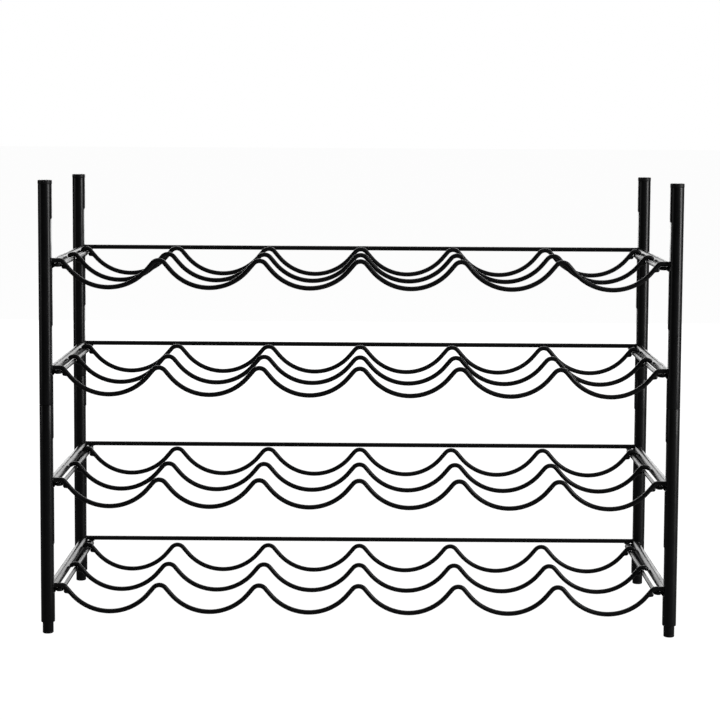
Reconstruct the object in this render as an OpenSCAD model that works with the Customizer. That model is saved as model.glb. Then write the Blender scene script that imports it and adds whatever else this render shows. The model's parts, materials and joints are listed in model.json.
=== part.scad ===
// Stackable wire wine rack: two identical modules of two tiers, each tier a row of bottle troughs.
// Round tube posts carry side bars and hook rods, and bent wires hooked over the rods hold the bottles.
// +X is the width, +Y runs to the back, +Z is up; the origin is on the floor under the rack's centre.

/* [Bottle grid] */
// Number of bottles side by side in a tier
bays = 6; // [3:1:8]
// Distance from one bottle's axis to the next
bottle_pitch = 101; // [90:1:125]
// Height from one tier to the next inside a module
tier_spacing = 108; // [100:1:130]
// Height of a module's first trough above its shoulders
first_trough = 11; // [10:0.5:20]
// Distance between the axes of the front and back posts
post_depth = 220; // [210:1:300]
// Distance between the bent wires of one tier, front to back
wave_spacing = 91; // [70:1:95]

/* [Wires] */
// Diameter of the bent wires and the straight back rail
wire_d = 4.8; // [4:0.1:6]
// Height of a crest above a trough, between wire centres
wave_rise = 27.3; // [22:0.1:34]
// Bend radius of a crest at the wire's centre
crest_r = 8; // [6:0.5:12]
// Straight length between a trough's bend and a crest's bend
flank_len = 8.5; // [5:0.5:12]
// Bend radius of the downturned tip of a claw
claw_tip_r = 6; // [5:0.5:7]
// Angle through which a claw's tip turns down
claw_tip_angle = 38; // [20:1:40]
// Height of a rod's axis above the axes of its lower prongs
prong_drop = 1.8; // [1:0.1:2.5]
// Amount by which the short wires, prongs and braces, are thinner than the rest
short_step = 0.4; // [0.2:0.1:1]

/* [Hook rods and side bars] */
// Diameter of the rods that the claws grip
rod_d = 4; // [3:0.1:5]
// Height of a rod's centre above the troughs
rod_rise = 22.1; // [20:0.1:24]
// Bend radius at a rod's back corner
rod_bend_r = 5; // [4:0.5:6]
// Bend radius of a rod's short front end
rod_tip_r = 3.5; // [3:0.5:5]
// Sideways distance from a rod to the post axes
rod_to_post = 14.3; // [13:0.1:18]
// Diameter of the side bars
bar_d = 9.5; // [8:0.5:11]
// Wall of the side bars
bar_wall = 1; // [0.8:0.1:1.5]
// Height of a side bar's centre above the troughs
bar_rise = 22.3; // [20:0.1:26]
// Sideways distance from a side bar's axis to the post axes
bar_inset = 3; // [2:0.1:4]

/* [Back rail] */
// Height of the back rail's centre above the troughs
rail_rise = 26; // [25:0.5:30]
// Distance from a post's flat to where a brace leaves the rail
brace_reach = 9; // [7:0.5:12]

/* [Posts] */
// Outside diameter of the posts
post_d = 14; // [13:0.5:18]
// Wall of the posts
post_wall = 1.2; // [1:0.1:1.5]
// Length of a post from its shoulder to its top rim
post_len = 222; // [215:1:270]
// Length of the narrowed end that plugs into the post below
spigot_len = 9; // [6:0.5:15]
// Rounding of the shoulder above the narrowed end
shoulder_edge = 0.8; // [0.4:0.1:0.8]
// Depth of the flats pressed into a post's inner side
flat_depth = 1; // [0.5:0.1:1.2]
// Length of each flat
flat_len = 52.5; // [45:0.5:60]
// Length of the slope at each end of a flat
flat_ramp = 2.5; // [2:0.5:4]

/* [Caps and feet] */
// Height of a cap's head
cap_head = 4; // [3:0.5:6]
// Amount by which a cap's head stands out past the post
cap_rim = 0.15; // [0:0.05:0.5]
// Length of a cap's stem
cap_stem = 9; // [6:0.5:14]
// Height of a foot's head
foot_head = 2.5; // [2:0.5:5]
// Length of a foot's stem
foot_stem = 6; // [4:0.5:8]
// Rounding of the caps' and feet's outer edges
plug_edge = 1; // [0.5:0.1:1.2]

/* [Fits] */
// Radial clearance between a narrowed end and the post that it plugs into
spigot_gap = 0.3; // [0.15:0.05:0.4]
// Radial clearance of the caps' and feet's stems
stem_gap = 0.05; // [0.02:0.01:0.1]
// Clearance between a claw and its rod
claw_gap = 0.1; // [0.06:0.01:0.2]

/* [Hidden] */
SIDES = ["left", "right"];
ENDS = ["front", "back"];
MODULES = ["lower", "upper"];
ROWS = ["front", "middle", "back"];
TIERS = [1:4];
TIERS_PER_MODULE = 2;

post_names = [for (m = MODULES, e = ENDS, s = SIDES) str(m, "_", e, "_", s, "_post")];
cap_names = [for (e = ENDS, s = SIDES) str(e, "_", s, "_cap")];
foot_names = [for (e = ENDS, s = SIDES) str(e, "_", s, "_foot")];
bar_names = [for (t = TIERS, s = SIDES) str("tier_", t, "_", s, "_side_bar")];
rod_names = [for (t = TIERS, s = SIDES) str("tier_", t, "_", s, "_hook_rod")];
wave_names = [for (t = TIERS, r = ROWS) str("tier_", t, "_", r, "_wave_wire")];
prong_names = [for (t = TIERS) str("tier_", t, "_lower_prongs")];
rail_names = [for (t = TIERS) str("tier_", t, "_back_rail")];
brace_names = [for (t = TIERS) str("tier_", t, "_rail_braces")];

BLACK = "#1b1b1d";
PLASTIC = "#121213";
WIRE_FN = 24;
BEND_FN = 96;
TUBE_FN = 48;
OVERRUN = 1;

wire_r = wire_d / 2;
post_r = post_d / 2;
bore_r = post_r - post_wall;
spigot_r = bore_r - spigot_gap;
spigot_bore_r = spigot_r - post_wall;

// A half period of the wave: a trough arc, a straight flank and a crest arc, all tangent.
half_pitch = bottle_pitch / 2;
bend_sum = (half_pitch * half_pitch + wave_rise * wave_rise - flank_len * flank_len) / (2 * wave_rise);
trough_r = bend_sum - crest_r;
bend_reach = sqrt(bend_sum * bend_sum + flank_len * flank_len);
wave_angle = asin(bend_sum / bend_reach) + atan2(wave_rise - bend_sum, half_pitch);

// A claw bends round its rod at the outer end of the last flank.
hook_r = rod_d / 2 + wire_r + claw_gap;
end_flank = (rod_rise - trough_r * (1 - cos(wave_angle)) + hook_r * cos(wave_angle)) / sin(wave_angle);
trough_reach = trough_r * sin(wave_angle);
flank_foot_x = (bays - 1) * half_pitch + trough_reach;
flank_foot_z = trough_r * (1 - cos(wave_angle));
rod_x = flank_foot_x + end_flank * cos(wave_angle) + hook_r * sin(wave_angle);
claw_z = rod_rise + hook_r;

// A lower prong leaves the last flank and stops just short of the rod's inner side.
prong_r = wire_r - short_step / 2;
prong_z = rod_rise - prong_drop;
prong_foot_x = flank_foot_x + (prong_z - flank_foot_z) / tan(wave_angle);
prong_hold = rod_d / 2 + prong_r + claw_gap;
prong_end_x = rod_x - sqrt(prong_hold * prong_hold - prong_drop * prong_drop);
claw_land = 0.6;
ring_rise = 0.1;
ring_len = 0.4;

post_x = rod_x + rod_to_post;
post_y = post_depth / 2;
flat_x = post_x - post_r + flat_depth;
bar_x = post_x - bar_inset;
flat_low = rod_rise - rod_d / 2 - flat_ramp;

base_z = spigot_len + foot_head;
bar_end_y = post_y - post_r / 2;
rod_back_y = bar_end_y - rod_d / 2;
row_y = [for (r = [0:len(ROWS) - 1]) -post_y + r * wave_spacing];

function sign_of(side) = side == "left" ? -1 : 1;
function end_sign(end) = end == "front" ? -1 : 1;
function module_z(m) = base_z + (m == "upper" ? post_len : 0);
function module_of(t) = t > TIERS_PER_MODULE ? "upper" : "lower";
function trough_z(t) = module_z(module_of(t)) + first_trough + (t - 1) % TIERS_PER_MODULE * tier_spacing;

// A straight wire from the origin along the heading, in the XY plane.
module straight(length, heading, d) {
    rotate([0, 0, heading]) rotate([0, 90, 0]) cylinder(d = d, h = length, $fn = WIRE_FN);
}

// A bend round the origin, from one polar angle to another, with the faint ring that
// the bending tool leaves where each bend starts and stops.
module bend(r, from, to, d) {
    rotate([0, 0, from])
        rotate_extrude(angle = to - from, $fn = BEND_FN)
            translate([r, 0]) circle(d = d, $fn = WIRE_FN);
    for (angle = [from, to])
        rotate([0, 0, angle]) translate([r, 0, 0])
            rotate([90, 0, 0]) cylinder(d = d + ring_rise, h = ring_len, center = true, $fn = WIRE_FN);
}

// Stands a wire drawn in the XY plane up in the XZ plane.
module upright() {
    rotate([90, 0, 0]) children();
}

// Left half drawn, right half mirrored.
module both_sides() {
    children();
    mirror([1, 0, 0]) children();
}

// One flat's shape, cut from the outside of a post, or left standing inside its bore.
module flat_cut(surface_r) {
    low = first_trough + flat_low;
    for (k = [0:TIERS_PER_MODULE - 1])
        translate([0, post_d, low + k * tier_spacing])
            rotate([90, 0, 0])
                linear_extrude(2 * post_d)
                    polygon([[surface_r, 0],
                             [surface_r - flat_depth, flat_ramp],
                             [surface_r - flat_depth, flat_len - flat_ramp],
                             [surface_r, flat_len],
                             [surface_r + post_r, flat_len],
                             [surface_r + post_r, 0]]);
}

// Outside of a post above its shoulder, with its flats on the +X side.
module post_outside() {
    difference() {
        union() {
            cylinder(r1 = post_r - shoulder_edge, r2 = post_r, h = shoulder_edge, $fn = TUBE_FN);
            translate([0, 0, shoulder_edge])
                cylinder(r = post_r, h = post_len - shoulder_edge, $fn = TUBE_FN);
        }
        flat_cut(post_r);
    }
}

// A post: round tube narrowed at its lower end, open at its top.
module post_tube() {
    color(BLACK)
        difference() {
            union() {
                post_outside();
                translate([0, 0, -spigot_len]) cylinder(r = spigot_r, h = spigot_len + OVERRUN, $fn = TUBE_FN);
            }
            difference() {
                translate([0, 0, post_wall]) {
                    neck = bore_r - spigot_bore_r;
                    cylinder(r1 = spigot_bore_r, r2 = bore_r, h = neck, $fn = TUBE_FN);
                    translate([0, 0, neck]) cylinder(r = bore_r, h = post_len, $fn = TUBE_FN);
                }
                flat_cut(bore_r);
            }
            translate([0, 0, -spigot_len - OVERRUN])
                cylinder(r = spigot_bore_r, h = spigot_len + post_wall + 2 * OVERRUN, $fn = TUBE_FN);
        }
}

// Places a post's shape on its own side and end; the flats always face the bottles.
module at_post(end, side) {
    translate([sign_of(side) * post_x, end_sign(end) * post_y, 0])
        rotate([0, 0, side == "left" ? 0 : 180])
            children();
}

// Head of a plug: a disc with one rounded edge at its lower face.
module plug_head(r, h) {
    rotate_extrude($fn = TUBE_FN) {
        square([r - plug_edge, h]);
        translate([0, plug_edge]) square([r, h - plug_edge]);
        intersection() {
            translate([r - plug_edge, plug_edge]) circle(r = plug_edge, $fn = TUBE_FN);
            square([r, plug_edge + OVERRUN]);
        }
    }
}

// Cap: its stem pushes into the open top of an upper post.
module post_cap() {
    color(PLASTIC) {
        translate([0, 0, cap_head]) mirror([0, 0, 1]) plug_head(post_r + cap_rim, cap_head);
        translate([0, 0, -cap_stem])
            cylinder(r = bore_r - stem_gap, h = cap_stem + plug_edge, $fn = TUBE_FN);
    }
}

// Foot: its stem pushes into the narrowed end of a lower post.
module post_foot() {
    color(PLASTIC) {
        plug_head(spigot_r, foot_head);
        translate([0, 0, foot_head - plug_edge])
            cylinder(r = spigot_bore_r - stem_gap, h = foot_stem + plug_edge, $fn = TUBE_FN);
    }
}

// Side bar: a round tube between a side's front and back posts, shaped to their walls.
module side_bar() {
    difference() {
        translate([-bar_x, bar_end_y, bar_rise])
            rotate([90, 0, 0]) cylinder(d = bar_d, h = 2 * bar_end_y, $fn = TUBE_FN);
        for (end = ENDS)
            translate([-post_x, end_sign(end) * post_y, 0])
                cylinder(r = post_r, h = 2 * bar_rise, $fn = TUBE_FN);
    }
}

module side_tube() {
    color(BLACK)
        difference() {
            side_bar();
            translate([-bar_x, post_y, bar_rise])
                rotate([90, 0, 0]) cylinder(d = bar_d - 2 * bar_wall, h = post_depth, $fn = TUBE_FN);
        }
}

// Hook rod: a wire with both ends turned outwards, the front one short, the back one to the side bar.
module hook_rod() {
    corner_x = -rod_x - rod_bend_r;
    front_y = rod_tip_r - post_y;
    back_y = rod_back_y - rod_bend_r;
    color(BLACK)
        difference() {
            translate([0, 0, rod_rise]) {
                translate([-rod_x - rod_tip_r, front_y, 0])
                    mirror([0, 1, 0]) rotate([0, 0, -90]) turned_tip(rod_tip_r, 90, rod_d);
                translate([-rod_x, front_y, 0]) straight(back_y - front_y, 90, rod_d);
                translate([corner_x, back_y, 0]) bend(rod_bend_r, 0, 90, rod_d);
                translate([corner_x, rod_back_y, 0]) straight(bar_x + corner_x, 180, rod_d);
            }
            translate([-bar_x, post_y, bar_rise])
                rotate([90, 0, 0]) cylinder(d = bar_d, h = post_depth - post_r, $fn = TUBE_FN);
        }
}

// The wave between its two outermost flanks: a trough for each bottle and a crest between each two.
module wave_run() {
    for (b = [0:bays - 1])
        translate([(b - (bays - 1) / 2) * bottle_pitch, 0, 0]) {
            translate([0, trough_r, 0]) bend(trough_r, -90 - wave_angle, -90 + wave_angle, wire_d);
            if (b < bays - 1) {
                translate([half_pitch, wave_rise - crest_r, 0])
                    bend(crest_r, 90 - wave_angle, 90 + wave_angle, wire_d);
                translate([trough_reach, flank_foot_z, 0]) straight(flank_len, wave_angle, wire_d);
                translate([bottle_pitch - trough_reach, flank_foot_z, 0])
                    straight(flank_len, 180 - wave_angle, wire_d);
            }
        }
}

// The outermost flank and the bend that takes it over the hook rod.
module end_run() {
    translate([-flank_foot_x, flank_foot_z, 0]) straight(end_flank, 180 - wave_angle, wire_d);
    translate([-rod_x, rod_rise, 0]) bend(hook_r, 90 - wave_angle, 90, wire_d);
}

// Front wave: both ends run on over the rods to the front posts' flats.
module front_wave() {
    color(BLACK)
        upright() {
            wave_run();
            both_sides() {
                end_run();
                translate([-rod_x, claw_z, 0]) straight(flat_x - rod_x, 180, wire_d);
            }
        }
}

// Middle and back waves: both ends turn down over the rods as claws with round tips.
module clawed_wave() {
    land_x = -rod_x - claw_land;
    color(BLACK)
        upright() {
            wave_run();
            both_sides() {
                end_run();
                translate([-rod_x, claw_z, 0]) straight(claw_land, 180, wire_d);
                translate([land_x, claw_z - claw_tip_r, 0])
                    turned_tip(claw_tip_r, claw_tip_angle, wire_d);
            }
        }
}

// A bend from straight up to the left that ends in a round tip.
module turned_tip(r, angle, d) {
    bend(r, 90, 90 + angle, d);
    rotate([0, 0, 90 + angle]) translate([r, 0, 0])
        rotate([-90, 0, 0])
            intersection() {
                sphere(d = d, $fn = WIRE_FN);
                cylinder(d = d + OVERRUN, h = d, $fn = WIRE_FN);
            }
}

// Lower prong: a short round-ended wire butted to the underside of a wave's last flank.
module lower_prong() {
    reach = prong_end_x - prong_foot_x;
    color(BLACK)
        upright()
            difference() {
                translate([-prong_foot_x, prong_z, 0])
                    rotate([0, -90, 0])
                        rotate_extrude($fn = WIRE_FN) {
                            square([prong_r, reach]);
                            intersection() {
                                translate([0, reach]) circle(r = prong_r, $fn = WIRE_FN);
                                square([prong_r + OVERRUN, reach + prong_r + OVERRUN]);
                            }
                        }
                translate([-flank_foot_x, flank_foot_z, 0])
                    straight(end_flank, 180 - wave_angle, wire_d);
            }
}

// Back rail: a straight wire between the back posts' flats.
module back_rail() {
    color(BLACK)
        translate([-flat_x, post_y, rail_rise])
            rotate([0, 90, 0]) cylinder(d = wire_d, h = 2 * flat_x, $fn = WIRE_FN);
}

// Rail brace: a short sloping wire from the rail's underside to a back post.
module rail_brace() {
    color(BLACK)
        difference() {
            translate([-flat_x + brace_reach, post_y, rail_rise])
                rotate([0, -135, 0])
                    cylinder(d = 2 * prong_r, h = post_d + brace_reach / 2, $fn = WIRE_FN);
            back_rail();
            translate([-post_x, post_y, -first_trough]) post_outside();
            translate([-post_x - post_d, post_y - post_r, -post_r])
                cube([post_d + post_r - post_wall, post_d, 2 * rail_rise]);
        }
}

for (m = MODULES, e = ENDS, s = SIDES)
    translate([0, 0, module_z(m)]) at_post(e, s) post_tube();

for (e = ENDS, s = SIDES) {
    translate([0, 0, module_z("upper") + post_len]) at_post(e, s) post_cap();
    at_post(e, s) post_foot();
}

for (t = TIERS, s = SIDES)
    translate([0, 0, trough_z(t)]) mirror([s == "right" ? 1 : 0, 0, 0]) {
        side_tube();
        hook_rod();
    }

for (t = TIERS)
    translate([0, 0, trough_z(t)]) {
        translate([0, row_y[0], 0]) front_wave();
        translate([0, row_y[1], 0]) clawed_wave();
        translate([0, row_y[2], 0]) clawed_wave();
        for (y = row_y) translate([0, y, 0]) both_sides() lower_prong();
        back_rail();
        both_sides() rail_brace();
    }
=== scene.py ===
import json
from math import asin, atan2, cos, hypot, pi, radians, sin, sqrt

import bmesh
import bpy
from mathutils import Matrix, Vector


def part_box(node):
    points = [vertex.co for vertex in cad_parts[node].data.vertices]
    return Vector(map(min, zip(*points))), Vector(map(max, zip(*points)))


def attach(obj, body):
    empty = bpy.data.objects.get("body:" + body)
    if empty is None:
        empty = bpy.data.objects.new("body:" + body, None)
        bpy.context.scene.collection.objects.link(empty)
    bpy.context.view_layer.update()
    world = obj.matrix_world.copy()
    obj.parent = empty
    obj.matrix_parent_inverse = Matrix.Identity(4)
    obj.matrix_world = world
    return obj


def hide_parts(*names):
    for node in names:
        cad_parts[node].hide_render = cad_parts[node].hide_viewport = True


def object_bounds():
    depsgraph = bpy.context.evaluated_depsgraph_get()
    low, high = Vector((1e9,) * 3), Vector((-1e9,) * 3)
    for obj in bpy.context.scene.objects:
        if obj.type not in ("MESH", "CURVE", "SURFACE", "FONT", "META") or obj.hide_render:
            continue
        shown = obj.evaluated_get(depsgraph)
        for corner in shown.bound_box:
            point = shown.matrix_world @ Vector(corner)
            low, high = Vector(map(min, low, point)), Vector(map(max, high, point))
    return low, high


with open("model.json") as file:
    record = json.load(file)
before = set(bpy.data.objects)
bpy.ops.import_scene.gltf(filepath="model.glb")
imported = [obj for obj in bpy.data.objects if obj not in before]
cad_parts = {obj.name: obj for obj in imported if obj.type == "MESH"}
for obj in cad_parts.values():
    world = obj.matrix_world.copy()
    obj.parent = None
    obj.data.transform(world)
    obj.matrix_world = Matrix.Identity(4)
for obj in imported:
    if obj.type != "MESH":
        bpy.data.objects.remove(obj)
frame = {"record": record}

cad_low, cad_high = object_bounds()

# ---- Posts ----
# Eight posts of 14 mm round steel tube in black powder coat. Each is swaged down at its lower end to
# plug into the tube below it, and pressed flat on its inner side where a tier's wires are welded on.
post_r = 0.007
post_wall = 0.0012
bore_r = post_r - post_wall
spigot_r = 0.0055
spigot_bore_r = spigot_r - post_wall
spigot_len = 0.009
post_len = 0.222
first_trough = 0.011
tier_spacing = 0.108
flat_foot = 0.0176
flat_len = 0.0525
flat_ramp = 0.0025
flat_depth = 0.001
flat_soften = 0.0006
ramp_steps = 6
shoulder_edge = 0.0008
spigot_edge = 0.0004
rim_edge = 0.00025
crease = radians(38)
module_of = {}
for module, held in frame["record"]["behaviour"]["bodies"].items():
    for node in held:
        module_of[node] = module


def finished(bm, name, coat, node):
    """Makes the mesh an object that stands for its CAD node, rides with its module and wears its coat."""
    bmesh.ops.recalc_face_normals(bm, faces=bm.faces)
    for face in bm.faces:
        face.smooth = True
    for edge in bm.edges:
        edge.smooth = not edge.is_manifold or edge.calc_face_angle() < crease
    mesh = bpy.data.meshes.new(name)
    bm.to_mesh(mesh)
    bm.free()
    piece = bpy.data.objects.new(name, mesh)
    bpy.context.scene.collection.objects.link(piece)
    mesh.materials.append(coat)
    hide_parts(node)
    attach(piece, module_of[node])
    return piece


def turned(bm, outline, sides, closed):
    """Spins an outline of (radius, height) corners once round the Z axis."""
    corners = [bm.verts.new((radius, 0, height)) for radius, height in outline]
    lines = [bm.edges.new(pair) for pair in zip(corners, corners[1:])]
    if closed:
        lines.append(bm.edges.new((corners[-1], corners[0])))
    bmesh.ops.spin(bm, geom=corners + lines, cent=(0, 0, 0), axis=(0, 0, 1), angle=2 * pi,
                   steps=sides, use_merge=True)
    bmesh.ops.remove_doubles(bm, verts=bm.verts, dist=1e-7)
    bmesh.ops.recalc_face_normals(bm, faces=bm.faces)


def rounded_rings(bm, radius, height, size, segments):
    """Rounds the ring-shaped corner at one radius and height of a turned piece."""
    close = 2e-6

    def on_ring(vert):
        return abs(hypot(vert.co.x, vert.co.y) - radius) < close and abs(vert.co.z - height) < close

    rings = [edge for edge in bm.edges if on_ring(edge.verts[0]) and on_ring(edge.verts[1])]
    bmesh.ops.bevel(bm, geom=rings, offset=size, offset_type="OFFSET", segments=segments, profile=0.5,
                    affect="EDGES", material=-1, clamp_overlap=True)


def coat_surface():
    """Sprayed and baked coat: orange peel, a finer grain, and slow changes of gloss and tone."""
    group = bpy.data.node_groups.new("coat_surface", "ShaderNodeTree")
    make = group.interface.new_socket
    make(name="Position", in_out="INPUT", socket_type="NodeSocketVector")
    make(name="Peel Size", in_out="INPUT", socket_type="NodeSocketFloat")
    make(name="Grain Size", in_out="INPUT", socket_type="NodeSocketFloat")
    make(name="Grain Share", in_out="INPUT", socket_type="NodeSocketFloat")
    make(name="Height", in_out="OUTPUT", socket_type="NodeSocketFloat")
    make(name="Gloss", in_out="OUTPUT", socket_type="NodeSocketFloat")
    make(name="Tone", in_out="OUTPUT", socket_type="NodeSocketFloat")
    nodes, links = group.nodes, group.links
    asked = nodes.new("NodeGroupInput")
    given = nodes.new("NodeGroupOutput")
    scales = []
    for size in ("Peel Size", "Grain Size"):
        scale = nodes.new("ShaderNodeMath")
        scale.operation = "DIVIDE"
        scale.inputs[0].default_value = 1.0
        links.new(asked.outputs[size], scale.inputs[1])
        scales.append(scale)
    peel = nodes.new("ShaderNodeTexNoise")
    peel.inputs["Detail"].default_value = 1.5
    peel.inputs["Roughness"].default_value = 0.45
    links.new(asked.outputs["Position"], peel.inputs["Vector"])
    links.new(scales[0].outputs[0], peel.inputs["Scale"])
    grain = nodes.new("ShaderNodeTexNoise")
    grain.inputs["Detail"].default_value = 2.0
    links.new(asked.outputs["Position"], grain.inputs["Vector"])
    links.new(scales[1].outputs[0], grain.inputs["Scale"])
    height = nodes.new("ShaderNodeMix")
    height.data_type = "FLOAT"
    links.new(asked.outputs["Grain Share"], height.inputs["Factor"])
    links.new(peel.outputs["Fac"], height.inputs["A"])
    links.new(grain.outputs["Fac"], height.inputs["B"])
    links.new(height.outputs["Result"], given.inputs["Height"])
    drift = nodes.new("ShaderNodeTexNoise")
    drift.inputs["Scale"].default_value = 38.0
    drift.inputs["Detail"].default_value = 3.0
    links.new(asked.outputs["Position"], drift.inputs["Vector"])
    gloss = nodes.new("ShaderNodeMapRange")
    gloss.inputs["From Min"].default_value = 0.3
    gloss.inputs["From Max"].default_value = 0.7
    links.new(drift.outputs["Fac"], gloss.inputs["Value"])
    links.new(gloss.outputs["Result"], given.inputs["Gloss"])
    tone = nodes.new("ShaderNodeMath")
    tone.operation = "MULTIPLY_ADD"
    tone.inputs[1].default_value = 0.6
    links.new(drift.outputs["Fac"], tone.inputs[0])
    shade = nodes.new("ShaderNodeMath")
    shade.operation = "MULTIPLY"
    shade.inputs[1].default_value = 0.4
    links.new(grain.outputs["Fac"], shade.inputs[0])
    links.new(shade.outputs[0], tone.inputs[2])
    links.new(tone.outputs[0], given.inputs["Tone"])
    return group


coat_group = coat_surface()


def black_coat(name, dark, light, smooth, dull, peel_size, grain_size, grain_share, relief, reflectance):
    """A black finish over the shared coat surface, with its own colours, gloss and relief."""
    coat = bpy.data.materials.new(name)
    coat.use_nodes = True
    nodes, links = coat.node_tree.nodes, coat.node_tree.links
    surface = nodes["Principled BSDF"]
    where = nodes.new("ShaderNodeTexCoord")
    texture = nodes.new("ShaderNodeGroup")
    texture.node_tree = coat_group
    texture.inputs["Peel Size"].default_value = peel_size
    texture.inputs["Grain Size"].default_value = grain_size
    texture.inputs["Grain Share"].default_value = grain_share
    links.new(where.outputs["Object"], texture.inputs["Position"])
    colour = nodes.new("ShaderNodeMix")
    colour.data_type = "RGBA"
    colour.inputs["A"].default_value = (*dark, 1)
    colour.inputs["B"].default_value = (*light, 1)
    links.new(texture.outputs["Tone"], colour.inputs["Factor"])
    links.new(colour.outputs["Result"], surface.inputs["Base Color"])
    gloss = nodes.new("ShaderNodeMapRange")
    gloss.inputs["To Min"].default_value = smooth
    gloss.inputs["To Max"].default_value = dull
    links.new(texture.outputs["Gloss"], gloss.inputs["Value"])
    links.new(gloss.outputs["Result"], surface.inputs["Roughness"])
    bump = nodes.new("ShaderNodeBump")
    bump.inputs["Strength"].default_value = 1.0
    bump.inputs["Distance"].default_value = relief
    links.new(texture.outputs["Height"], bump.inputs["Height"])
    links.new(bump.outputs["Normal"], surface.inputs["Normal"])
    surface.inputs["Specular IOR Level"].default_value = reflectance
    coat.diffuse_color = (*light, 1)
    return coat


tube_coat = black_coat("tube_powder_coat", (0.003, 0.003, 0.0033), (0.007, 0.007, 0.0075), 0.26, 0.36,
                       0.0016, 0.00035, 0.2, 0.000012, 0.2)


def pressed(height):
    """How far the press has gone in at a height above the shoulder, from 0 to 1, with soft ends."""
    for level in range(2):
        foot = first_trough + flat_foot + level * tier_spacing
        reach = min((height - foot) / flat_ramp, (foot + flat_len - height) / flat_ramp)
        if reach > 0:
            reach = min(reach, 1)
            return reach * reach * (3 - 2 * reach)
    return 0


flat_levels = []
for level in range(2):
    foot = first_trough + flat_foot + level * tier_spacing
    rises = [flat_ramp * step / ramp_steps for step in range(ramp_steps + 1)]
    flat_levels += [foot + rise for rise in rises]
    flat_levels += [foot + flat_len - rise for rise in reversed(rises)]

for module in ("lower", "upper"):
    for end in ("front", "back"):
        for side in ("left", "right"):
            node = f"{module}_{end}_{side}_post"
            low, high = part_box(node)
            bm = bmesh.new()
            swage_top = post_wall + bore_r - spigot_bore_r
            outline = [(spigot_bore_r, -spigot_len), (spigot_r, -spigot_len), (spigot_r, 0), (post_r, 0)]
            outline += [(post_r, height) for height in flat_levels]
            outline += [(post_r, post_len), (bore_r, post_len)]
            outline += [(bore_r, height) for height in reversed(flat_levels)]
            outline += [(bore_r, swage_top), (spigot_bore_r, post_wall)]
            turned(bm, outline, 96, closed=True)
            rounded_rings(bm, spigot_r, -spigot_len, spigot_edge, 3)
            rounded_rings(bm, post_r, 0, shoulder_edge, 5)
            rounded_rings(bm, post_r, post_len, rim_edge, 3)
            rounded_rings(bm, bore_r, post_len, rim_edge, 3)
            for vert in bm.verts:
                press = pressed(vert.co.z)
                if press > 0:
                    wall = hypot(vert.co.x, vert.co.y)
                    limit = wall - flat_depth * press
                    soft = flat_soften * press
                    blend = max(soft - abs(vert.co.x - limit), 0) / soft
                    vert.co.x = min(vert.co.x, limit) - blend * blend * soft / 4
            turn = Matrix.Rotation(0 if side == "left" else pi, 4, "Z")
            spot = Vector(((low.x + high.x) / 2, (low.y + high.y) / 2, low.z + spigot_len))
            bmesh.ops.transform(bm, matrix=Matrix.Translation(spot) @ turn, verts=bm.verts)
            finished(bm, f"{module}_{end}_{side}_tube", tube_coat, node)

# ---- Caps ----
# Four black plastic caps, moulded solid. The stem of each is pushed into the open top of an upper
# post, and its head covers the tube's rim with a fine shadow line beneath.
cap_head = 0.004
stem_gap = 0.00005
cap_stem_r = bore_r - stem_gap
cap_edge = 0.001
cap_under_edge = 0.0003
stem_edge = 0.0005
plug_plastic = black_coat("moulded_plastic", (0.004, 0.004, 0.0043), (0.008, 0.008, 0.0085), 0.4, 0.52,
                          0.0007, 0.00018, 0.5, 0.000014, 0.2)
for end in ("front", "back"):
    for side in ("left", "right"):
        node = f"{end}_{side}_cap"
        low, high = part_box(node)
        head_r = (high.x - low.x) / 2
        seat = high.z - cap_head
        bm = bmesh.new()
        outline = [(0, high.z), (head_r - 0.003, high.z), (head_r, high.z), (head_r, seat),
                   (cap_stem_r, seat), (cap_stem_r, low.z), (0, low.z)]
        turned(bm, outline, 72, closed=False)
        rounded_rings(bm, head_r, high.z, cap_edge, 6)
        rounded_rings(bm, head_r, seat, cap_under_edge, 3)
        rounded_rings(bm, cap_stem_r, low.z, stem_edge, 2)
        spot = Vector(((low.x + high.x) / 2, (low.y + high.y) / 2, 0))
        bmesh.ops.translate(bm, vec=spot, verts=bm.verts)
        finished(bm, f"{end}_{side}_cap_moulding", plug_plastic, node)

# ---- Feet ----
# Four black plastic feet, moulded like the caps. Each plugs the swaged end of a lower post and
# stands a little below it, with a rounded edge that meets the floor.
foot_head = 0.0025
foot_stem_r = spigot_bore_r - stem_gap
for end in ("front", "back"):
    for side in ("left", "right"):
        node = f"{end}_{side}_foot"
        low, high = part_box(node)
        head_r = (high.x - low.x) / 2
        bm = bmesh.new()
        outline = [(0, low.z), (head_r - 0.002, low.z), (head_r, low.z), (head_r, low.z + foot_head),
                   (foot_stem_r, low.z + foot_head), (foot_stem_r, high.z), (0, high.z)]
        turned(bm, outline, 72, closed=False)
        rounded_rings(bm, head_r, low.z, cap_edge, 6)
        rounded_rings(bm, foot_stem_r, high.z, stem_edge, 2)
        spot = Vector(((low.x + high.x) / 2, (low.y + high.y) / 2, 0))
        bmesh.ops.translate(bm, vec=spot, verts=bm.verts)
        finished(bm, f"{end}_{side}_foot_moulding", plug_plastic, node)

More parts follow.
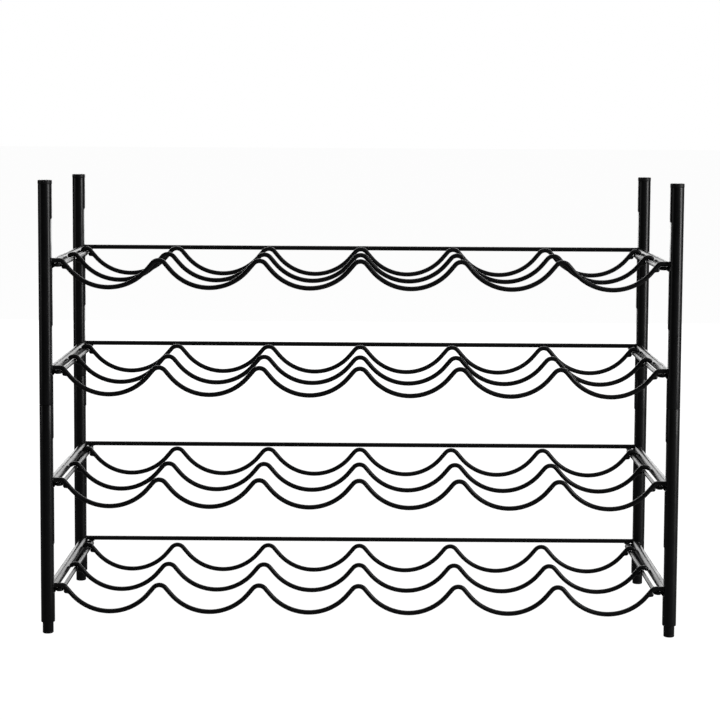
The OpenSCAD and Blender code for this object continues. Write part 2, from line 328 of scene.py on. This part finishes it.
# ---- Side bars ----
# One round tube per side and tier, between the front and back posts. Its ends are shaped to the
# posts' walls and welded all round, which leaves a low fillet under the coat.
bar_wall = 0.001
bar_fillet = 0.0006
bar_fillet_len = 0.0026
bar_fit_len = 0.004
post_y = (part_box("lower_back_left_post")[0].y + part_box("lower_back_left_post")[1].y) / 2
post_x = (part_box("lower_back_right_post")[0].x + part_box("lower_back_right_post")[1].x) / 2
for tier in range(1, 5):
    for side in ("left", "right"):
        node = f"tier_{tier}_{side}_side_bar"
        low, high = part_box(node)
        bar_r = (high.z - low.z) / 2
        middle = Vector(((low.x + high.x) / 2, 0, (low.z + high.z) / 2))
        bm = bmesh.new()
        lying = Matrix.Rotation(-pi / 2, 4, "X")
        bmesh.ops.create_cone(bm, segments=56, radius1=bar_r, radius2=bar_r, depth=high.y - low.y,
                              cap_ends=False, matrix=lying)
        for level in (0.0006, 0.0014, bar_fillet_len, 0.02):
            for end in (-1, 1):
                whole = bm.verts[:] + bm.edges[:] + bm.faces[:]
                bmesh.ops.bisect_plane(bm, geom=whole, plane_co=(0, end * (high.y - level), 0),
                                       plane_no=(0, 1, 0))
        bmesh.ops.recalc_face_normals(bm, faces=bm.faces)
        bmesh.ops.solidify(bm, geom=bm.faces[:], thickness=bar_wall)
        for vert in bm.verts:
            radius = hypot(vert.co.x, vert.co.z)
            near = max(0, 1 - (high.y - abs(vert.co.y)) / bar_fillet_len)
            if radius > bar_r - bar_wall / 2:
                swell = 1 + near * near * bar_fillet / bar_r
                vert.co.x *= swell
                vert.co.z *= swell
        bmesh.ops.translate(bm, vec=middle, verts=bm.verts)
        for vert in bm.verts:
            across = abs(vert.co.x) - post_x
            if abs(across) < post_r and abs(vert.co.y) > high.y - bar_fit_len:
                wall_y = post_y - sqrt(post_r * post_r - across * across)
                beyond = max(0, 1 - (high.y - abs(vert.co.y)) / bar_fit_len)
                shift = (wall_y - high.y) * beyond
                vert.co.y += shift if vert.co.y > 0 else -shift
        finished(bm, f"tier_{tier}_{side}_side_tube", tube_coat, node)

# ---- Hook rods ----
# One 4 mm round wire per side and tier, a little inboard of the side bar. Its back end turns out to
# the side bar and is welded; its front end turns out under the front wave and stops short in a tip.
wire_sides = 20
weld_swell = 1.355
weld_len = 0.0012
weld_sink = 0.0005
wire_coat = black_coat("wire_powder_coat", (0.003, 0.003, 0.0033), (0.007, 0.007, 0.0075), 0.28, 0.4,
                       0.0013, 0.0003, 0.2, 0.000008, 0.2)


def start_wire(bm, at, along, axis, radius):
    """A ring at the start of a wire, which then runs along its heading and bends about its axis."""
    along = Vector(along).normalized()
    face = Vector((0, 0, 1)).rotation_difference(along).to_matrix().to_4x4()
    ring = bmesh.ops.create_circle(bm, segments=wire_sides, radius=radius, cap_ends=False,
                                   matrix=Matrix.Translation(at) @ face)
    rim = list({edge for vert in ring["verts"] for edge in vert.link_edges})
    return {"rim": rim, "at": Vector(at), "along": along, "axis": Vector(axis), "radius": radius}


def run_on(bm, wire, length, grow=1.0):
    """Runs the wire straight on by a length, growing or shrinking its section by a ratio."""
    drawn = bmesh.ops.extrude_edge_only(bm, edges=wire["rim"])["geom"]
    verts = [part for part in drawn if isinstance(part, bmesh.types.BMVert)]
    bmesh.ops.translate(bm, vec=wire["along"] * length, verts=verts)
    wire["at"] += wire["along"] * length
    if grow != 1.0:
        bmesh.ops.scale(bm, vec=(grow, grow, grow), space=Matrix.Translation(-wire["at"]), verts=verts)
    kept = set(verts)
    wire["rim"] = [part for part in drawn if isinstance(part, bmesh.types.BMEdge)
                   and part.verts[0] in kept and part.verts[1] in kept]


def bend_on(bm, wire, radius, turn, steps):
    """Bends the wire on through a turn in radians, positive towards the left of its axis."""
    left = wire["axis"].cross(wire["along"])
    centre = wire["at"] + left * (radius if turn > 0 else -radius)
    ends = list({vert for edge in wire["rim"] for vert in edge.verts})
    spun = bmesh.ops.spin(bm, geom=ends + wire["rim"], cent=centre, axis=wire["axis"], angle=turn,
                          steps=steps, use_merge=False, use_duplicate=False)
    wire["rim"] = [part for part in spun["geom_last"] if isinstance(part, bmesh.types.BMEdge)]
    swing = Matrix.Rotation(turn, 3, wire["axis"])
    wire["at"] = centre + swing @ (wire["at"] - centre)
    wire["along"] = swing @ wire["along"]


def end_in_weld(bm, wire):
    """Ends the wire in the low fillet of a weld, with its end face on the other piece."""
    run_on(bm, wire, 0.0006, 1.08)
    run_on(bm, wire, 0.0004, 1.12)
    run_on(bm, wire, 0.0002, 1.12)
    bmesh.ops.contextual_create(bm, geom=wire["rim"])


def start_in_weld(bm, at, along, axis, radius):
    """Starts a wire from the low fillet of a weld."""
    wire = start_wire(bm, at, along, axis, radius * weld_swell)
    bmesh.ops.contextual_create(bm, geom=wire["rim"])
    run_on(bm, wire, 0.0002, 1 / 1.12)
    run_on(bm, wire, 0.0004, 1 / 1.12)
    run_on(bm, wire, 0.0006, 1 / 1.08)
    return wire


def end_rounded(bm, wire):
    """Ends the wire in a round tip."""
    steps = 5
    for step in range(1, steps):
        before, after = pi / 2 * (step - 1) / steps, pi / 2 * step / steps
        run_on(bm, wire, wire["radius"] * (sin(after) - sin(before)), cos(after) / cos(before))
    run_on(bm, wire, wire["radius"] * (1 - sin(pi / 2 * (steps - 1) / steps)))
    pole = list({vert for edge in wire["rim"] for vert in edge.verts})
    bmesh.ops.pointmerge(bm, verts=pole, merge_co=wire["at"])


def mirrored(bm):
    """Turns a left-hand piece into a right-hand one."""
    bmesh.ops.transform(bm, matrix=Matrix.Diagonal((-1, 1, 1, 1)), verts=bm.verts)
    bmesh.ops.reverse_faces(bm, faces=bm.faces)


rod_bend_r = 0.005
rod_tip_r = 0.0035
rod_parts = 4
flat_x = post_x - post_r + flat_depth
for tier in range(1, 5):
    for side in ("left", "right"):
        node = f"tier_{tier}_{side}_hook_rod"
        low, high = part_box(node)
        bar_low, bar_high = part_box(f"tier_{tier}_{side}_side_bar")
        rod_r = (high.z - low.z) / 2
        rod_x = min(abs(low.x), abs(high.x)) + rod_r
        bar_face = min(abs(bar_low.x), abs(bar_high.x))
        bm = bmesh.new()
        back_y = high.y - rod_r
        root = (-bar_face - weld_sink, back_y, (low.z + high.z) / 2)
        rod = start_in_weld(bm, root, (1, 0, 0), (0, 0, 1), rod_r)
        run_on(bm, rod, -rod_x - rod_bend_r - rod["at"].x)
        bend_on(bm, rod, rod_bend_r, -pi / 2, 10)
        for step in range(rod_parts):
            run_on(bm, rod, (back_y - rod_bend_r + post_y - rod_tip_r) / rod_parts)
        bend_on(bm, rod, rod_tip_r, -pi / 2, 8)
        end_rounded(bm, rod)
        if side == "right":
            mirrored(bm)
        finished(bm, f"tier_{tier}_{side}_rod", wire_coat, node)

# ---- Wave wires ----
# Three 4.8 mm wires per tier, each bent into a trough for every bottle with a tight crest between
# troughs. All of them hook over the rods; the front one runs on to the front posts and is welded.
bottle_pitch = 0.101
wire_r = 0.0024
wave_rise = 0.0273
hook_r = 0.0045
crest_r = 0.008
flank_len = 0.0085
claw_land = 0.0006
claw_tip_r = 0.006
claw_tip_turn = radians(38)
half_pitch = bottle_pitch / 2
bend_sum = (half_pitch ** 2 + wave_rise ** 2 - flank_len ** 2) / (2 * wave_rise)
trough_r = bend_sum - crest_r
wave_turn = asin(bend_sum / hypot(bend_sum, flank_len)) + atan2(wave_rise - bend_sum, half_pitch)
for tier in range(1, 5):
    rod_low, rod_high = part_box(f"tier_{tier}_left_hook_rod")
    rod_z = (rod_low.z + rod_high.z) / 2
    for row in ("front", "middle", "back"):
        node = f"tier_{tier}_{row}_wave_wire"
        low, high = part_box(node)
        trough_z = low.z + wire_r
        row_y = (low.y + high.y) / 2
        reach = rod_z - trough_z - trough_r * (1 - cos(wave_turn)) + hook_r * cos(wave_turn)
        bm = bmesh.new()
        wave = start_wire(bm, (0, row_y, trough_z + wave_rise), (-1, 0, 0), (0, -1, 0), wire_r)
        bend_on(bm, wave, crest_r, wave_turn, 6)
        run_on(bm, wave, flank_len)
        for bay in range(3):
            bend_on(bm, wave, trough_r, -2 * wave_turn, 26)
            if bay < 2:
                run_on(bm, wave, flank_len)
                bend_on(bm, wave, crest_r, 2 * wave_turn, 14)
                run_on(bm, wave, flank_len)
        run_on(bm, wave, reach / sin(wave_turn))
        bend_on(bm, wave, hook_r, wave_turn, 8)
        if row == "front":
            run_on(bm, wave, wave["at"].x + flat_x - weld_len)
            end_in_weld(bm, wave)
        else:
            run_on(bm, wave, claw_land)
            bend_on(bm, wave, claw_tip_r, claw_tip_turn, 6)
            end_rounded(bm, wave)
        half = bm.verts[:] + bm.edges[:] + bm.faces[:]
        bmesh.ops.mirror(bm, geom=half, axis="X", matrix=Matrix.Identity(4), merge_dist=1e-6)
        bmesh.ops.remove_doubles(bm, verts=bm.verts, dist=1e-7)
        finished(bm, f"tier_{tier}_{row}_wave", wire_coat, node)

# ---- Lower prongs ----
# A short round-ended wire under each end of every wave, welded to the underside of its last flank.
# It stops against the inner side of the hook rod, so that the wave grips the rod like a claw.
prong_r = 0.0022
prong_len = 0.0035
prong_swell = 1.2
for tier in range(1, 5):
    node = f"tier_{tier}_lower_prongs"
    low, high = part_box(node)
    bm = bmesh.new()
    for row in ("front", "middle", "back"):
        row_low, row_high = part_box(f"tier_{tier}_{row}_wave_wire")
        root = (prong_len + prong_r - high.x, (row_low.y + row_high.y) / 2, low.z + prong_r)
        prong = start_wire(bm, root, (-1, 0, 0), (0, -1, 0), prong_r * prong_swell)
        bmesh.ops.contextual_create(bm, geom=prong["rim"])
        prong["radius"] = prong_r
        run_on(bm, prong, 0.0012, 1 / 1.06)
        run_on(bm, prong, 0.0010, 1 / 1.08)
        run_on(bm, prong, 0.0006, 1 / 1.0482)
        run_on(bm, prong, 0.0007)
        end_rounded(bm, prong)
    left = bm.verts[:] + bm.edges[:] + bm.faces[:]
    bmesh.ops.mirror(bm, geom=left, axis="X", matrix=Matrix.Identity(4), merge_dist=0)
    finished(bm, f"tier_{tier}_prongs", wire_coat, node)

# ---- Back rails ----
# One straight wire per tier between the back posts' flats. It holds the back posts apart and stops
# the bottles from being pushed through.
rail_parts = 6
for tier in range(1, 5):
    node = f"tier_{tier}_back_rail"
    low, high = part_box(node)
    centre_z = (low.z + high.z) / 2
    bm = bmesh.new()
    rail = start_in_weld(bm, (low.x, post_y, centre_z), (1, 0, 0), (0, -1, 0), wire_r)
    for step in range(rail_parts):
        run_on(bm, rail, (high.x - low.x - 2 * weld_len) / rail_parts)
    end_in_weld(bm, rail)
    finished(bm, f"tier_{tier}_rail", wire_coat, node)

# ---- Rail braces ----
# A short sloping wire under each end of a back rail, from the rail's underside to the back post.
# Both of its ends are welded.
brace_r = 0.0022
brace_reach = 0.009
brace_setback = 0.0018
brace_sink = 0.0004
for tier in range(1, 5):
    node = f"tier_{tier}_rail_braces"
    rail_low, rail_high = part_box(f"tier_{tier}_back_rail")
    rail_z = (rail_low.z + rail_high.z) / 2
    slope = Vector((-1, 0, -1)).normalized()
    head = Vector((-flat_x + brace_reach, post_y, rail_z)) + slope * brace_setback
    bm = bmesh.new()
    brace = start_in_weld(bm, head, slope, (0, -1, 0), brace_r)
    slant = (brace_reach + flat_depth) * sqrt(2)
    run_on(bm, brace, slant - brace_setback - 2 * weld_len + brace_sink)
    end_in_weld(bm, brace)
    left = bm.verts[:] + bm.edges[:] + bm.faces[:]
    bmesh.ops.mirror(bm, geom=left, axis="X", matrix=Matrix.Identity(4), merge_dist=0)
    finished(bm, f"tier_{tier}_braces", wire_coat, node)

# ---- Floor ----
# A plain pale studio floor, level with the undersides of the feet.
floor_mesh = bpy.data.meshes.new("studio_floor")
bm = bmesh.new()
bmesh.ops.create_grid(bm, x_segments=1, y_segments=1, size=40)
bmesh.ops.translate(bm, vec=(0, 0, cad_low.z), verts=bm.verts)
bm.to_mesh(floor_mesh)
bm.free()
floor = bpy.data.objects.new("studio_floor", floor_mesh)
bpy.context.scene.collection.objects.link(floor)
floor_paint = bpy.data.materials.new("pale_floor")
floor_paint.use_nodes = True
floor_surface = floor_paint.node_tree.nodes["Principled BSDF"]
floor_surface.inputs["Base Color"].default_value = (0.15, 0.15, 0.15, 1)
floor_surface.inputs["Roughness"].default_value = 0.9
floor_surface.inputs["Specular IOR Level"].default_value = 0.0
floor_surface.inputs["Emission Color"].default_value = (1, 1, 1, 1)
floor_nodes, floor_links = floor_paint.node_tree.nodes, floor_paint.node_tree.links
floor_seen = floor_nodes.new("ShaderNodeLightPath")
floor_glow = floor_nodes.new("ShaderNodeMapRange")
floor_glow.inputs["To Min"].default_value = 0.06
floor_glow.inputs["To Max"].default_value = 0.97
floor_links.new(floor_seen.outputs["Is Camera Ray"], floor_glow.inputs["Value"])
floor_links.new(floor_glow.outputs["Result"], floor_surface.inputs["Emission Strength"])
floor_mesh.materials.append(floor_paint)

# ---- Light ----
# Soft studio light: a wide panel behind the rack, a tall softbox at its right, a fainter one at its
# left and one overhead, in a white room.
room = bpy.data.worlds.new("white_room")
bpy.context.scene.world = room
room.use_nodes = True
room_nodes, room_links = room.node_tree.nodes, room.node_tree.links
room_light = room_nodes["Background"]
room_light.inputs["Color"].default_value = (1, 1, 1, 1)
seen = room_nodes.new("ShaderNodeLightPath")
strength = room_nodes.new("ShaderNodeMapRange")
strength.inputs["To Min"].default_value = 0.04
strength.inputs["To Max"].default_value = 1.0
room_links.new(seen.outputs["Is Camera Ray"], strength.inputs["Value"])
room_links.new(strength.outputs["Result"], room_light.inputs["Strength"])


def softbox(name, at, target, width, height, power):
    """A rectangular soft light that faces a point."""
    lamp = bpy.data.lights.new(name, "AREA")
    lamp.shape = "RECTANGLE"
    lamp.size = width
    lamp.size_y = height
    lamp.energy = power
    box = bpy.data.objects.new(name, lamp)
    bpy.context.scene.collection.objects.link(box)
    box.location = at
    box.rotation_mode = "QUATERNION"
    box.rotation_quaternion = (Vector(target) - Vector(at)).to_track_quat("-Z", "Y")
    box.visible_camera = False
    return box


rack_middle = (cad_low + cad_high) / 2
softbox("back_panel", (0, 2.6, 1.0), rack_middle, 2.8, 2.6, 65)
softbox("right_softbox", (2.0, -0.93, 0.8), rack_middle, 0.6, 1.8, 55)
softbox("left_softbox", (-2.4, -0.6, 0.6), rack_middle, 0.4, 1.4, 5)
softbox("top_softbox", (0, -0.2, 2.6), rack_middle, 2.0, 1.6, 7)

# ---- Camera ----
# In front of the rack and a little above its top, turned slightly down, with a long lens.
lens = bpy.data.cameras.new("camera")
camera = bpy.data.objects.new("camera", lens)
bpy.context.scene.collection.objects.link(camera)
bpy.context.scene.camera = camera
lens.sensor_width = 36
lens.lens = 93.06
lens.shift_y = -0.12
lens.clip_end = 200
camera.location = (0.0046, -1.9651, 0.5156)
look = Matrix.Rotation(0.0027, 3, "Z") @ Matrix.Rotation(pi / 2 - 0.0796, 3, "X")
look = look @ Matrix.Rotation(0.0057, 3, "Z")
camera.rotation_mode = "QUATERNION"
camera.rotation_quaternion = look.to_quaternion()
bpy.context.scene.view_settings.view_transform = "Standard"
